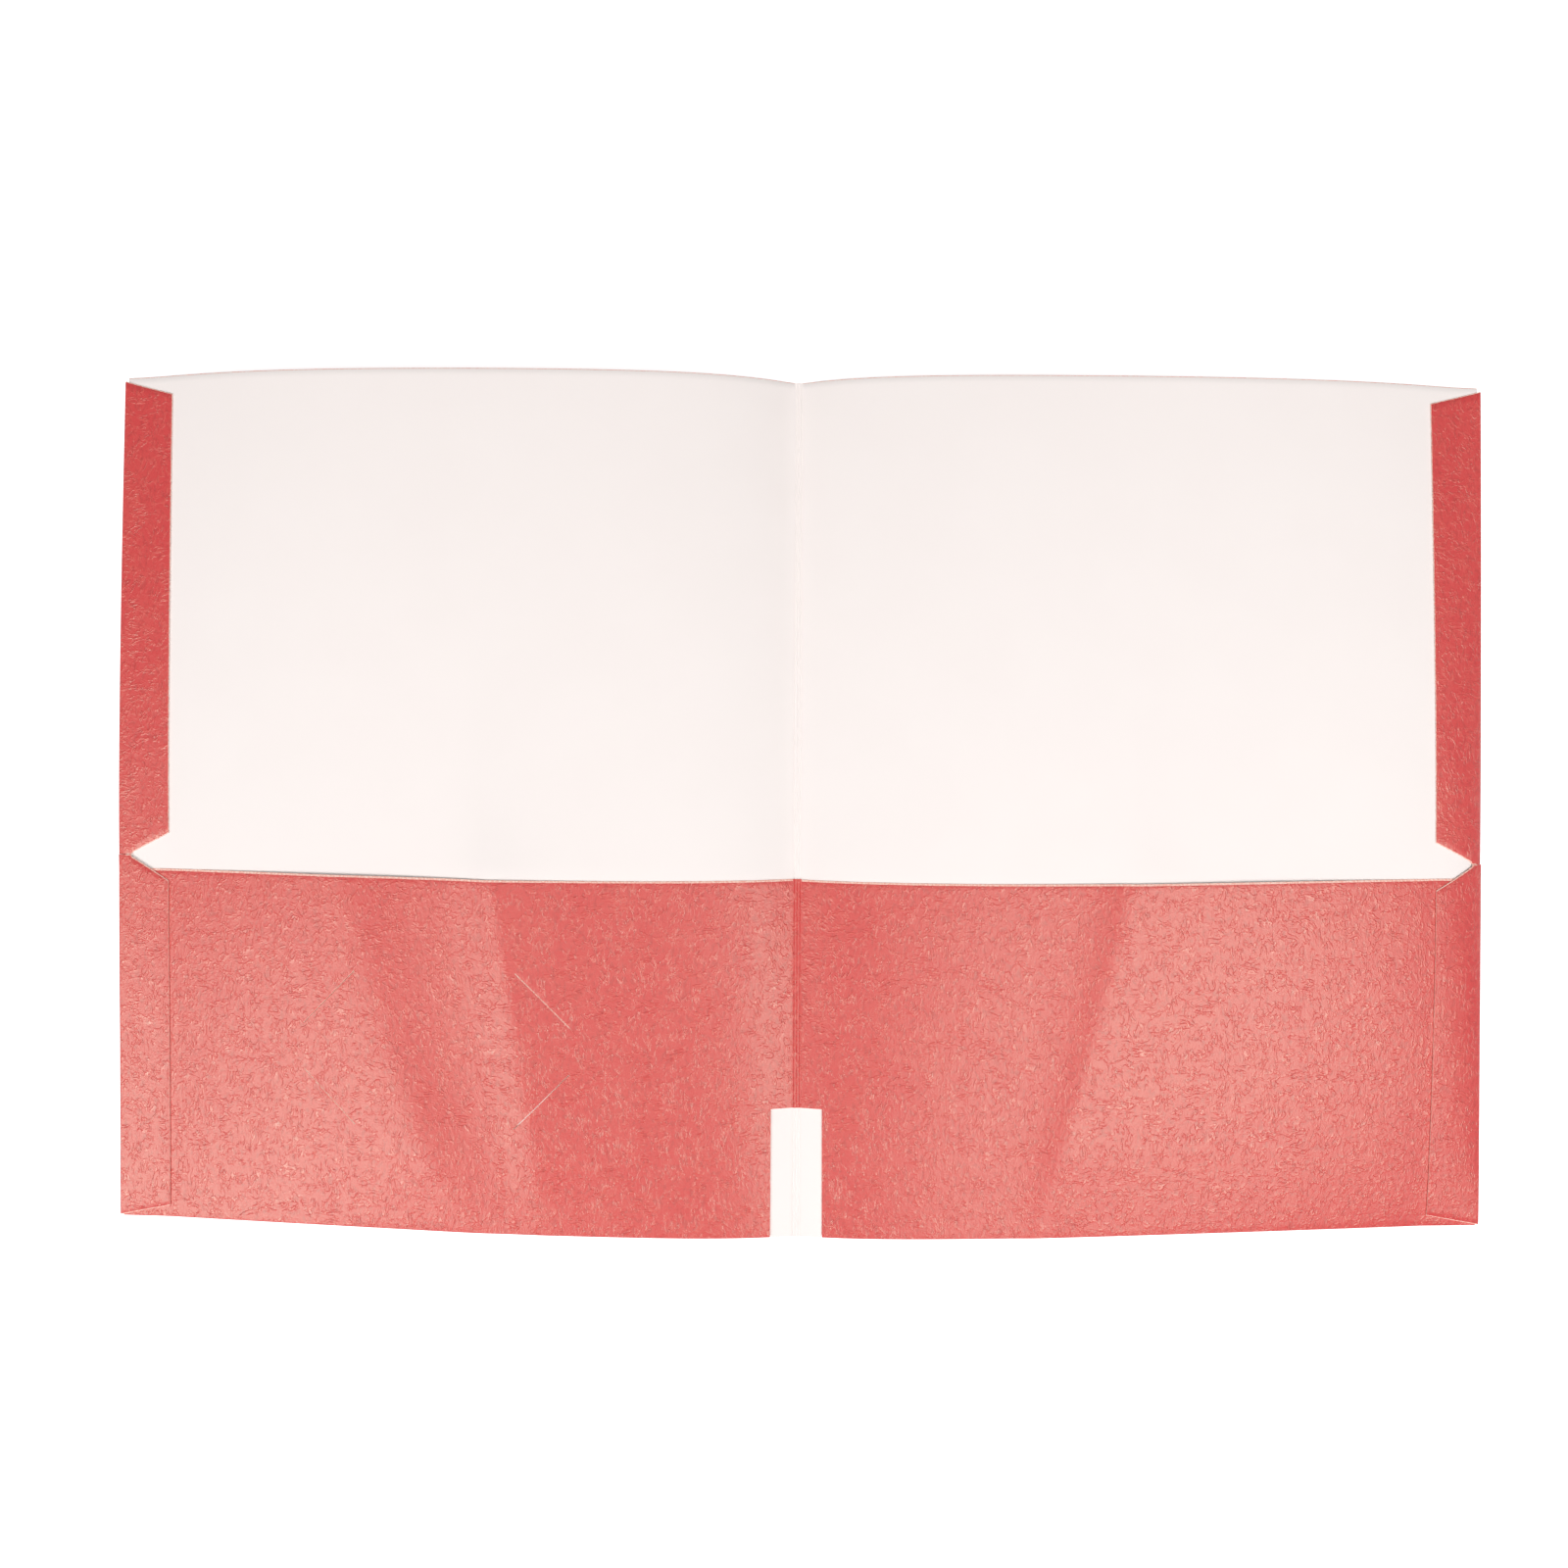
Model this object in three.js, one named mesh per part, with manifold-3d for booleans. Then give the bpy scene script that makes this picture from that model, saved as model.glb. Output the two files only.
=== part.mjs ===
// A two-pocket document folder lying open, inside up: one die-cut sheet of embossed card, scored and
// folded, with its side flaps glued down. Sizes are in millimetres: X runs across the spread, Y up
// the page and Z up from the table, with the origin on the table under the middle of the spread.
import * as THREE from "three";
import { mergeVertices } from "three/addons/utils/BufferGeometryUtils.js";
import Module from "manifold-3d";

const wasm = await Module();
wasm.setup();

// The sheet
const coverWidth = 241.3; // one cover, from the spine to its outer fold
const coverHeight = 298.45; // takes a letter-size sheet with a margin round it
const cardThickness = 0.4;
const pocketDepth = 124; // from the bottom fold up to the pocket's mouth
const flapWidth = 17.8;

// How it lies: the outer edges and the spine's top end touch down, and its bottom end stands up
const spineRise = 18;
const coverBow = 1.5; // 1 runs straight down from the spine to the outer edge, more bows it up between
const mouthGape = 7.5; // most that a pocket's mouth stands open
const gapePeak = 0.8; // where it does, from the spine (0) to the side flap (1)

// Ends of the side flaps
const flapTopInset = 1.3; // below the cover's top edge, at the outer fold
const flapTopDrop = 6.6; // the same at the flap's inner edge
const flapBottomInset = 0.4;
const flapBottomDrop = 4.2;

// The V cut between the upper and the lower side flap, measured from the mouth's line
const notchTip = 3.1; // from the outer fold to the rounded tip
const notchTipRise = 4.9;
const notchUpperRise = 12.6; // upper side of the V, at the flaps' inner edge
const notchLowerDrop = 4.1; // lower side of the V, there
const notchRadius = 1;

// The cut-out at the foot of the spine, through both pocket panels
const spineCutWidth = 18;
const spineCutHeight = 44;
const spineCutArch = 0.6; // rise of its top edge in the middle

// Slits in the left pocket that take the corners of a business card
const businessCard = { width: 88.9, height: 50.8 };
const cardFromSpine = 124.8; // the card's centre
const cardFromFold = 63.3;
const cornerTuck = 10.1; // how deep each corner goes in, along its diagonal
const slitLength = 26.5;
const slitWidth = 0.6;

// Scores, glue and the air between the layers
const creaseWidth = 1.4;
const creaseBeads = 2; // raised ribs that the scoring rule leaves on a spine crease
const creaseFloor = 0.05; // the crease's underside, above the card's
const glueThickness = 0.1;
const glueMargin = 2;
const layerGap = 0.1;
const scoreGap = 0.1; // between neighbouring panels, at their score
const cutGap = 0.2; // the knife cut that parts the upper from the lower side flap

// Fineness of the mesh
const acrossSteps = 16;
const pocketSteps = 8;
const upperSteps = 6;
const bendSteps = 6;
const arcSteps = 4;

// Heights of the stacked layers above the cover's underside
const pocketFloor = cardThickness + layerGap;
const pocketTop = pocketFloor + cardThickness;
const glueStack = layerGap + glueThickness + layerGap;
const upperFlapTop = cardThickness + glueStack + cardThickness;
const lowerFlapTop = pocketTop + glueStack + cardThickness;

// Lines that several panels share
const topEdge = coverHeight / 2;
const bottomFold = -coverHeight / 2;
const mouthLine = bottomFold + pocketDepth;
const restEdge = coverWidth - flapWidth; // outside it the cover lies flat on the table
const foldInset = lowerFlapTop / 2 + cardThickness; // the flat cover ends this far inside a fold
const panelEdge = coverWidth - foldInset;
const spineEdge = creaseWidth / 2;

const redCard = new THREE.MeshStandardMaterial({ color: 0xd8635d, roughness: 0.55, metalness: 0 });
const whiteCard = new THREE.MeshStandardMaterial({ color: 0xfaf3ef, roughness: 0.85, metalness: 0 });
const driedGlue = new THREE.MeshStandardMaterial({ color: 0xeee6d2, roughness: 0.6, metalness: 0 });

// Evenly spaced values from first to last, both included.
function stations(first, last, steps) {
  return Array.from({ length: steps + 1 }, (_, k) => first + ((last - first) * k) / steps);
}

const acrossLines = [...stations(spineEdge, restEdge, acrossSteps), panelEdge];
const pocketLines = stations(bottomFold + pocketTop, mouthLine, pocketSteps);
const pageLines = [bottomFold, ...pocketLines, ...stations(mouthLine, topEdge, upperSteps).slice(1)];

// Height of the cover's underside above the table, in a half whose x is measured from the spine.
function lie(x, y) {
  const spine = (spineRise * (topEdge - y)) / coverHeight;
  return spine * (1 - Math.min(1, x / restEdge) ** coverBow);
}

// How far a pocket's panel stands off the cover: nothing along its three closed sides, most at the mouth.
function gape(x, y) {
  const across = Math.min(1, x / restEdge) ** (Math.log(0.5) / Math.log(gapePeak));
  const up = Math.max(0, y - bottomFold) / pocketDepth;
  return mouthGape * Math.sin(Math.PI * across) ** 2 * Math.sin((Math.PI / 2) * up);
}

// A closed solid between two faces drawn on one grid. place(i, j, front) gives each point, and the
// front face is the one that looks along columns x rows.
function sheetSolid(columns, rows, place) {
  const positions = [];
  for (const front of [false, true])
    for (let j = 0; j < rows; j++)
      for (let i = 0; i < columns; i++) positions.push(...place(i, j, front));
  const back = (i, j) => j * columns + i;
  const front = (i, j) => (rows + j) * columns + i;
  const indices = [];
  const quad = (a, b, c, d) => indices.push(a, b, c, a, c, d);
  for (let j = 0; j < rows - 1; j++)
    for (let i = 0; i < columns - 1; i++) {
      quad(front(i, j), front(i + 1, j), front(i + 1, j + 1), front(i, j + 1));
      quad(back(i, j), back(i, j + 1), back(i + 1, j + 1), back(i + 1, j));
    }
  const rim = (a, b) => quad(back(...a), back(...b), front(...b), front(...a));
  for (let i = 0; i < columns - 1; i++) {
    rim([i, 0], [i + 1, 0]);
    rim([i + 1, rows - 1], [i, rows - 1]);
  }
  for (let j = 0; j < rows - 1; j++) {
    rim([columns - 1, j], [columns - 1, j + 1]);
    rim([0, j + 1], [0, j]);
  }
  return meshGeometry(positions, indices);
}

function meshGeometry(positions, indices) {
  const geometry = new THREE.BufferGeometry();
  geometry.setAttribute("position", new THREE.Float32BufferAttribute(positions, 3));
  geometry.setIndex(indices);
  geometry.computeVertexNormals();
  return geometry;
}

function solidOf(geometry) {
  const bare = geometry.clone();
  bare.deleteAttribute("normal");
  bare.deleteAttribute("uv");
  const merged = mergeVertices(bare);
  const mesh = new wasm.Mesh({
    numProp: 3,
    vertProperties: new Float32Array(merged.attributes.position.array),
    triVerts: new Uint32Array(merged.index.array),
  });
  return new wasm.Manifold(mesh);
}

function cutAway(geometry, cutters) {
  const left = cutters.reduce((solid, cutter) => solid.subtract(solidOf(cutter)), solidOf(geometry));
  const mesh = left.getMesh();
  return meshGeometry(Array.from(mesh.vertProperties), Array.from(mesh.triVerts));
}

// A cutter with this outline that goes right through whatever lies between the table and the spine.
function punch(shape) {
  const reach = spineRise + mouthGape + lowerFlapTop;
  const geometry = new THREE.ExtrudeGeometry(shape, {
    depth: 2 * reach,
    bevelEnabled: false,
    curveSegments: arcSteps,
  });
  return geometry.translate(0, 0, -reach / 2);
}

function rectangle(left, bottom, right, top) {
  const shape = new THREE.Shape();
  shape.moveTo(left, bottom);
  shape.lineTo(right, bottom);
  shape.lineTo(right, top);
  shape.lineTo(left, top);
  shape.closePath();
  return shape;
}

// Cross-section of a fold that closes round a stack of layers, and of the panel beyond it: pairs of
// points on the sheet's two faces, each as [distance in from the fold, height].
function foldProfile(stack, panelStations) {
  const radius = stack / 2;
  const innerRadius = radius - cardThickness;
  const legEnd = foldInset - scoreGap;
  const bend = stations(-Math.PI / 2, Math.PI / 2, bendSteps).map((angle) => ({
    outer: [radius - radius * Math.cos(angle), radius + radius * Math.sin(angle)],
    inner: [radius - innerRadius * Math.cos(angle), radius + innerRadius * Math.sin(angle)],
  }));
  const panel = panelStations.map((inset) => ({
    outer: [inset, stack],
    inner: [inset, stack - cardThickness],
  }));
  return [{ outer: [legEnd, 0], inner: [legEnd, cardThickness] }, ...bend, ...panel];
}

// One cover: it ends at its folds, but runs on to the foot of the sheet inside the spine's cut-out.
function coverGeometry() {
  const sheet = sheetSolid(acrossLines.length, pageLines.length, (i, j, front) => {
    const x = acrossLines[i];
    const y = pageLines[j];
    return [x, y, lie(x, y) + (front ? cardThickness : 0)];
  });
  const foldStrip = rectangle(
    spineCutWidth / 2 - scoreGap,
    bottomFold - foldInset,
    coverWidth,
    bottomFold + foldInset,
  );
  return cutAway(sheet, [punch(foldStrip)]);
}

function spineCutShape() {
  const side = spineCutWidth / 2;
  const top = bottomFold + spineCutHeight;
  const shape = new THREE.Shape();
  shape.moveTo(-side, bottomFold - foldInset);
  shape.lineTo(side, bottomFold - foldInset);
  shape.lineTo(side, top);
  shape.quadraticCurveTo(0, top + 2 * spineCutArch, -side, top);
  shape.closePath();
  return shape;
}

// A slit with round ends, centred on its own origin and lying along X.
function slitShape() {
  const radius = slitWidth / 2;
  const reach = slitLength / 2 - radius;
  const shape = new THREE.Shape();
  shape.moveTo(-reach, -radius);
  shape.lineTo(reach, -radius);
  shape.absarc(reach, 0, radius, -Math.PI / 2, Math.PI / 2, false);
  shape.lineTo(-reach, radius);
  shape.absarc(-reach, 0, radius, Math.PI / 2, (3 * Math.PI) / 2, false);
  return shape;
}

// The four slits: each crosses its corner of the card at 45 degrees.
function cardSlits() {
  const tuck = cornerTuck * Math.SQRT1_2;
  const centreX = businessCard.width / 2 - tuck;
  const centreY = businessCard.height / 2 - tuck;
  const corners = [[1, 1], [-1, 1], [-1, -1], [1, -1]];
  return corners.map(([right, up]) =>
    punch(slitShape())
      .rotateZ((-Math.PI / 4) * right * up)
      .translate(cardFromSpine + right * centreX, bottomFold + cardFromFold + up * centreY, 0),
  );
}

// A pocket: the bottom fold closes round the cover's foot, and the panel goes on up to the mouth.
function pocketGeometry(extraCuts) {
  const profile = foldProfile(pocketTop, pocketLines.map((y) => y - bottomFold));
  const sheet = sheetSolid(acrossLines.length, profile.length, (i, j, front) => {
    const x = acrossLines[i];
    const [inset, height] = front ? profile[j].outer : profile[j].inner;
    const y = bottomFold + inset;
    const lift = height > cardThickness ? gape(x, y) : 0;
    return [x, y, lie(x, y) + height + lift];
  });
  return cutAway(sheet, [punch(spineCutShape()), ...extraCuts]);
}

// One side of the V cut, from the outer fold inwards: [distance from the fold, distance from the
// tip's own line], with a straight knife cut out to the fold, the round tip and a straight side.
function notchSide(rise) {
  const centre = notchTip + notchRadius;
  const run = flapWidth - centre;
  const slope = Math.atan2(rise, run) - Math.asin(notchRadius / Math.hypot(rise, run));
  const tip = stations(Math.PI, Math.PI / 2 + slope, arcSteps).map((angle) => [
    centre + notchRadius * Math.cos(angle),
    Math.max(cutGap / 2, notchRadius * Math.sin(angle)),
  ]);
  return [...tip, [flapWidth, rise]];
}

// A side flap: a fold round the outer edge and the strip that it lays on the sheet. Its two ends
// are lists of [distance from the fold, y], and the end with more points sets the strip's stations.
function flapGeometry(stack, topEnd, bottomEnd) {
  const insets = (topEnd.length > bottomEnd.length ? topEnd : bottomEnd).map(([inset]) => inset);
  const profile = foldProfile(stack, insets);
  return sheetSolid(profile.length, 2, (i, j, front) => {
    const [inset, height] = front ? profile[i].outer : profile[i].inner;
    const y = alongLine(j === 0 ? topEnd : bottomEnd, inset);
    return [coverWidth - inset, y, height];
  });
}

// The y of a line of [inset, y] points at this inset, and its first point's outside them.
function alongLine(points, inset) {
  const next = points.findIndex(([at]) => at >= inset);
  if (next <= 0) return points.at(next)[1];
  const [fromInset, fromY] = points[next - 1];
  const [toInset, toY] = points[next];
  return fromY + ((toY - fromY) * (inset - fromInset)) / (toInset - fromInset);
}

function upperFlapGeometry() {
  const tipLine = mouthLine + notchTipRise;
  const topEnd = [[0, topEdge - flapTopInset], [flapWidth, topEdge - flapTopDrop]];
  const side = notchSide(notchUpperRise - notchTipRise);
  return flapGeometry(upperFlapTop, topEnd, side.map(([inset, off]) => [inset, tipLine + off]));
}

function lowerFlapGeometry() {
  const tipLine = mouthLine + notchTipRise;
  const side = notchSide(notchLowerDrop + notchTipRise);
  const bottomEnd = [[0, bottomFold + flapBottomInset], [flapWidth, bottomFold + flapBottomDrop]];
  return flapGeometry(lowerFlapTop, side.map(([inset, off]) => [inset, tipLine - off]), bottomEnd);
}

// A dried film of glue under a side flap, on a layer whose top is at floor.
function glueGeometry(floor, bottom, top) {
  const strip = rectangle(
    restEdge + glueMargin,
    bottom + glueMargin,
    panelEdge - glueMargin,
    top - glueMargin,
  );
  const geometry = new THREE.ExtrudeGeometry(strip, { depth: glueThickness, bevelEnabled: false });
  return geometry.translate(0, 0, floor + layerGap);
}

// A scored crease: a thin web under round beads, as long as the stretch of spine from low to high.
function creaseGeometry(floor, low, high) {
  const side = spineEdge - scoreGap;
  const beadRadius = side / creaseBeads;
  const beadFloor = cardThickness - beadRadius;
  const shape = new THREE.Shape();
  shape.moveTo(-side, creaseFloor);
  shape.lineTo(side, creaseFloor);
  for (let k = 0; k < creaseBeads; k++)
    shape.absarc(side - (2 * k + 1) * beadRadius, beadFloor, beadRadius, 0, Math.PI, false);
  shape.closePath();
  const slant = Math.hypot(coverHeight, spineRise) / coverHeight;
  const geometry = new THREE.ExtrudeGeometry(shape, {
    depth: (high - low) * slant,
    bevelEnabled: false,
    curveSegments: arcSteps,
  });
  geometry.rotateX(Math.PI / 2 - Math.atan2(spineRise, coverHeight));
  return geometry.translate(0, high, lie(0, high) + floor);
}

function piece(name, geometry, material) {
  const mesh = new THREE.Mesh(geometry, material);
  mesh.name = name;
  return mesh;
}

// One half of the folder, in its own frame with the spine at x = 0, mirrored to the left by its scale.
function folderHalf(side, direction, extraCuts) {
  const half = new THREE.Group();
  const lowerGlueTop = mouthLine - notchLowerDrop;
  const upperGlueBottom = mouthLine + notchUpperRise;
  half.add(
    piece(`cover_${side}`, coverGeometry(), whiteCard),
    piece(`pocket_${side}`, pocketGeometry(extraCuts), redCard),
    piece(`side_flap_upper_${side}`, upperFlapGeometry(), redCard),
    piece(`side_flap_lower_${side}`, lowerFlapGeometry(), redCard),
    piece(
      `glue_upper_${side}`,
      glueGeometry(cardThickness, upperGlueBottom, topEdge - flapTopDrop),
      driedGlue,
    ),
    piece(
      `glue_lower_${side}`,
      glueGeometry(pocketTop, bottomFold + flapBottomDrop, lowerGlueTop),
      driedGlue,
    ),
  );
  half.scale.x = direction;
  return half;
}

const spineCutTop = bottomFold + spineCutHeight + spineCutArch;
const spineCrease = creaseGeometry(0, bottomFold + scoreGap, topEdge - scoreGap);
const pocketCrease = creaseGeometry(pocketFloor, spineCutTop, mouthLine - scoreGap);
const folder = new THREE.Group();
folder.add(
  folderHalf("left", -1, cardSlits()),
  folderHalf("right", 1, []),
  piece("spine_crease", spineCrease, whiteCard),
  piece("pocket_crease", pocketCrease, redCard),
);

export default folder;
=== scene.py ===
"""Looks of a two-pocket document folder that lies open, inside up, on a pale table.

The folder is one die-cut sheet of embossed card, so every panel is made the same way: a flat sheet is
drawn as a grid, its slits are cut while it is flat, and then it is folded, arched and laid on the table.
Sheets are worked in millimetres, in a half whose s runs out from the spine, and placed in metres.
"""

import math
from dataclasses import dataclass

import bmesh
import bpy
import numpy as np
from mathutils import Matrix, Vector


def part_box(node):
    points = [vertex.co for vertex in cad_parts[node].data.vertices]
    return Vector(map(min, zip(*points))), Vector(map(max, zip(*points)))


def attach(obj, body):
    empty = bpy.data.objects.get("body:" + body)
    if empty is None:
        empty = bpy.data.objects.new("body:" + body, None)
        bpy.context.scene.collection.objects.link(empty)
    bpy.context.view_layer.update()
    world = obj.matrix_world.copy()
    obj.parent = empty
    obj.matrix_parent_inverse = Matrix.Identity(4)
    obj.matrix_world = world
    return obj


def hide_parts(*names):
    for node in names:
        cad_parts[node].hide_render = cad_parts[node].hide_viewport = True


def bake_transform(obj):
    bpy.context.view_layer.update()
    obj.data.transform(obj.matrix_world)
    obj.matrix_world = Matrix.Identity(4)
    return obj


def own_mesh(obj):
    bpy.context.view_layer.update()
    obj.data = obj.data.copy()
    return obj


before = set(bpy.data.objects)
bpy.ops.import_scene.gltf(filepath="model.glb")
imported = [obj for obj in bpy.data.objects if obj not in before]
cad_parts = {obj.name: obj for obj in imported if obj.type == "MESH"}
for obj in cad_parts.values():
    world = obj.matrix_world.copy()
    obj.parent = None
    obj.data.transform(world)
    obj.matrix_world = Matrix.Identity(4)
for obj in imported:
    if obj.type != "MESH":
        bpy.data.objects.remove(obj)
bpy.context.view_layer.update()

MM = 0.001


def cad_size(node, corner, axis):
    """One coordinate of a CAD node's box, in millimetres: corner 0 is the lowest and 1 the highest."""
    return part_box(node)[corner][axis] / MM


# Lines of the sheet, from the frame
TOP = cad_size("cover_right", 1, 1)
FOOT = cad_size("pocket_right", 0, 1)
MOUTH = cad_size("pocket_right", 1, 1)
COVER = cad_size("side_flap_upper_right", 1, 0)
REST = cad_size("side_flap_upper_right", 0, 0)
SPINE_CUT_LOWER = 1.0
SPINE_CUT_TOP = cad_size("pocket_crease", 0, 1) - SPINE_CUT_LOWER

# The sheet and what lies between its layers
CARD = 0.4
SPINE_RISE = cad_size("spine_crease", 1, 2) - CARD
LAYER_AIR = 0.03
GLUE = 0.08
POCKET_STACK = CARD + LAYER_AIR + CARD
UPPER_STACK = POCKET_STACK + LAYER_AIR + GLUE
LOWER_STACK = POCKET_STACK + 2 * LAYER_AIR + GLUE + CARD
FOLD_LEG = 1.2
LIP = 0.3
BROKEN_SHARE = 0.45
GLUE_MARGIN = 2.0

# The scored strip on the spine, two beads between three grooves, and the cut-out at its foot
SPINE_STRIP = 1.5
GROOVE_DEPTH = 0.24
GROOVE_WAVES = 1.5
GROOVE_POWER = 6
GROOVE_FADE = 0.3
SPINE_CUT = 9.0
SPINE_CUT_ARCH = 0.2

# Ends of the side flaps, and the V cut between them with the knife cut at its tip
FLAP_TOP_INSET = 1.3
FLAP_TOP_DROP = 6.6
FLAP_FOOT_INSET = 0.4
FLAP_FOOT_DROP = 4.2
NOTCH_TIP = 4.6
NOTCH_TIP_RISE = 4.9
NOTCH_UPPER_RISE = 12.6
NOTCH_LOWER_DROP = 4.1
NOTCH_RADIUS = 1.0
KNIFE_CUT = 0.04

# Slits for a business card in the left pocket, wider at the outer face than through the card
CARD_FROM_SPINE = 124.8
CARD_FROM_FOOT = 63.3
SLIT_FROM_CARD_MIDDLE = (37.6, 17.3)
SLIT_LENGTH = 26.5
SLIT_BEVEL = 0.5
SLIT_WIDTH = 0.08
BEVEL_FLOOR = 0.6 * CARD
SLIT_FLOOR = -0.2 * CARD
SLIT_CEILING = 1.2 * CARD
CUTTER_CLEAR = 1

# The pockets' mouth: its lip, and how far its edge sags, as shares of a half's mouth_dip
MOUTH_LIP = 0.7
SAG_AT_SPINE = 0.8
SAG_BETWEEN = 0.55
SAG_POWER = 1.5

# Fineness of the meshes
STEP = 2.5
BEND_STEPS = 10
ARC_STEPS = 40
NOTCH_POINTS = 7
STRIP_POINTS = 25
SLOPE_REACH = 0.5
TINY = 1e-6
SHARP_DEG = 40


@dataclass(frozen=True)
class Ridge:
    """A soft ripple along a line from its place at the mouth to the one at the foot.

    It falls off over one width towards the spine and over another towards the outer edge.
    """

    mouth: float
    foot: float
    height: float
    width: float
    outer_width: float
    mouth_share: float = 1.0
    foot_share: float = 1.0
    crest: float = 8.0
    bend: float = 1.0


@dataclass(frozen=True)
class Half:
    """One half of the folder, left or right of the spine."""

    side: str
    direction: int
    reach: float
    flap: float
    top_arch: float
    foot_arch: float
    gape: float
    ridges: tuple
    mouth_dip: float
    edge_lift: float
    edge_roll: float
    edge_lean: float
    slip: float
    pull_in: float


# How much wider the right half is than the CAD model's
RIGHT_WIDER = 3.3

LEFT = Half(
    side="left",
    direction=-1,
    reach=COVER,
    flap=18.6,
    top_arch=14.4,
    foot_arch=7.8,
    gape=1.0,
    ridges=(
        Ridge(mouth=160, foot=109, height=3.6, width=13, outer_width=40, mouth_share=0.45, crest=9, bend=0.6),
        Ridge(mouth=105, foot=86, height=4.6, width=26, outer_width=12, foot_share=0.4, crest=2.5),
        Ridge(mouth=16, foot=12, height=1.8, width=22, outer_width=22, crest=5),
    ),
    mouth_dip=2.4,
    edge_lift=2.2,
    edge_roll=0.0,
    edge_lean=1.0,
    slip=0.4,
    pull_in=0.5,
)
RIGHT = Half(
    side="right",
    direction=1,
    reach=COVER + RIGHT_WIDER,
    flap=19.6,
    top_arch=11.2,
    foot_arch=6.6,
    gape=1.0,
    ridges=(
        Ridge(mouth=117.5, foot=82, height=2.3, width=7, outer_width=45, crest=3, bend=0.85),
        Ridge(mouth=8, foot=10, height=1.8, width=26, outer_width=26, crest=4),
    ),
    mouth_dip=2.6,
    edge_lift=8.0,
    edge_roll=7.4,
    edge_lean=0.75,
    slip=-1.2,
    pull_in=1.0,
)

# The arch: how fast it rises from the spine and falls to the outer edge, and how wide that edge's roll is
ARCH_START = 28.0
ARCH_END = 36.0
ARCH_SOFTNESS = 4.0
OUTER_SOFTNESS = 20.0
ROLL_WIDTH = 12.0

# The ripples: how fast they fade above the mouth, and how the pocket's closed sides hold them down
RIPPLE_FADE = 30.0
HELD_AT_FOOT = 0.25
HELD_WITHIN = 0.3
HELD_POWER = 0.5

# The small step beside the spine's crease, and where across a pocket it gapes most
CREASE_STEP = 0.9
CREASE_WIDTH = 3.0
CREASE_REACH = 60.0
GAPE_PEAK = 0.7


# How a half lies on the table

def rise_up(y):
    """How far up the sheet a place is: 0 at the foot and 1 at the top edge."""
    return (y - FOOT) / (TOP - FOOT)


def cover_height(half, s, y):
    """Height of the cover's underside above the table."""
    up = rise_up(y)
    run = np.maximum(0, s - SPINE_STRIP)
    run = run * run / (run + ARCH_SOFTNESS)
    start = 1 - np.exp(-run / ARCH_START)
    out = np.clip(s / half.reach, 0, 1)
    tent = SPINE_RISE * (1 - up) * np.clip(1 - s / REST, 0, 1)
    tent = np.where(s < SPINE_STRIP, SPINE_RISE * (1 - up), tent)
    inward = half.reach - s
    inward = np.where(inward > 0, inward * abs(inward) / (abs(inward) + OUTER_SOFTNESS), 0)
    at_top = half.top_arch * (1 - np.exp(-inward / ARCH_END))
    at_foot = half.foot_arch * (1 - out**2)
    side = np.sin(math.pi * np.clip(up, 0, 1) ** half.edge_lean)
    lift = half.edge_lift * side * np.clip(out, 0, 1) ** 3
    roll = half.edge_roll * side * np.exp(-np.maximum(0, half.reach - s) / ROLL_WIDTH)
    crease = CREASE_STEP * (1 - np.exp(-run / CREASE_WIDTH)) * np.clip((y - MOUTH) / CREASE_REACH + 1, 0, 1)
    return tent + crease + start * (up * at_top + (1 - up) * at_foot) + lift - roll + ripples(half, s, y)


def ripples(half, s, y):
    """Soft ripples of the layers round a pocket: they die out above its mouth and at its closed sides."""
    up = (y - FOOT) / (MOUTH - FOOT)
    out = np.clip((s - SPINE_STRIP) / (half.reach - half.flap - SPINE_STRIP), 0, 1)
    held = np.sin(math.pi * out) ** HELD_POWER * np.clip(HELD_AT_FOOT + up / HELD_WITHIN, 0, 1)
    fade = np.exp(-np.maximum(0, y - MOUTH) / RIPPLE_FADE)
    up = np.clip(up, 0, 1)
    height = 0 * s
    for ridge in half.ridges:
        middle = ridge.foot + (ridge.mouth - ridge.foot) * up**ridge.bend
        share = ridge.foot_share + (ridge.mouth_share - ridge.foot_share) * up
        width = np.where(s > middle, ridge.outer_width, ridge.width)
        off = (np.hypot(s - middle, ridge.crest) - ridge.crest) / width
        height = height + ridge.height * share * np.exp(-off)
    return height * held * fade


def cover_point(half, s, y):
    """A point of the cover's underside: the arch draws its outer fold in a little."""
    pull = np.zeros_like(s)
    for k in range(ARC_STEPS):
        here = s * (k / ARC_STEPS)
        there = s * ((k + 1) / ARC_STEPS)
        climb = cover_height(half, there, y) - cover_height(half, here, y)
        pull += climb**2 / np.maximum(there - here, TINY) / 2
    return np.stack([s - half.pull_in * pull, y, cover_height(half, s, y)], axis=-1)


def laid(half, s, y, height):
    """Points at a height above the cover's underside, measured square to it."""
    across = cover_point(half, s + SLOPE_REACH, y) - cover_point(half, s - SLOPE_REACH, y)
    along = cover_point(half, s, y + SLOPE_REACH) - cover_point(half, s, y - SLOPE_REACH)
    normal = np.cross(across, along)
    normal /= np.linalg.norm(normal, axis=-1, keepdims=True)
    point = cover_point(half, s, y) + normal * height[..., None]
    point[..., 1] += half.slip * s / half.reach
    point[..., 0] *= half.direction
    return point


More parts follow.
